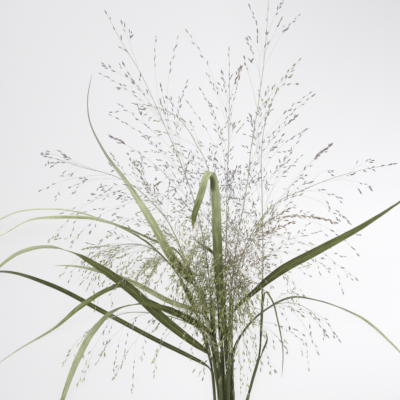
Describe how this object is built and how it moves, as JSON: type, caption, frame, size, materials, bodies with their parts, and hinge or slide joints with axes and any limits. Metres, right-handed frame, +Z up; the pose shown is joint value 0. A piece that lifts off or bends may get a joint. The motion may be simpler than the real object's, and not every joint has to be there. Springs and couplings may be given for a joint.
{
  "type": "cut bunch of switchgrass",
  "caption": "Cut bunch of ornamental switchgrass lying on a surface: jointed culms, long arching leaves with clasping sheaths, and airy open flower heads.",
  "frame": {"origin": "under the middle of the bunch, on the surface that it lies on", "axes": "+Y from the cut ends to the flower heads, +X across the bunch, +Z up from the surface"},
  "size_m": [0.5738, 0.72, 0.1359],
  "materials": {
    "culm": "satin olive green stem, paler at the cut",
    "dark_leaf": "satin dark green blade with fine lengthwise veins",
    "pale_leaf": "satin pale yellow-green blade with fine lengthwise veins",
    "panicle": "dry matt, pale green branches with brown and purple spikelets"
  },
  "bodies": {
    "root": {"culm_1": "culm", "culm_2": "culm", "culm_3": "culm", "culm_4": "culm", "culm_5": "culm", "culm_6": "culm", "culm_7": "culm", "culm_8": "culm", "culm_9": "culm", "culm_10": "culm", "leaf_1a": "dark_leaf", "leaf_1b": "dark_leaf", "leaf_1c": "pale_leaf", "leaf_2a": "dark_leaf", "leaf_2b": "pale_leaf", "leaf_2c": "pale_leaf", "leaf_2d": "pale_leaf", "leaf_3a": "pale_leaf", "leaf_4a": "dark_leaf", "leaf_5a": "pale_leaf", "leaf_6a": "dark_leaf", "leaf_7a": "dark_leaf", "leaf_7b": "pale_leaf", "leaf_9a": "dark_leaf", "panicle_1": "panicle", "panicle_2": "panicle", "panicle_3": "panicle", "panicle_4": "panicle", "panicle_5": "panicle", "panicle_6": "panicle", "panicle_7": "panicle", "panicle_8": "panicle", "panicle_9": "panicle", "panicle_10": "panicle"}
  },
  "joints": []
}
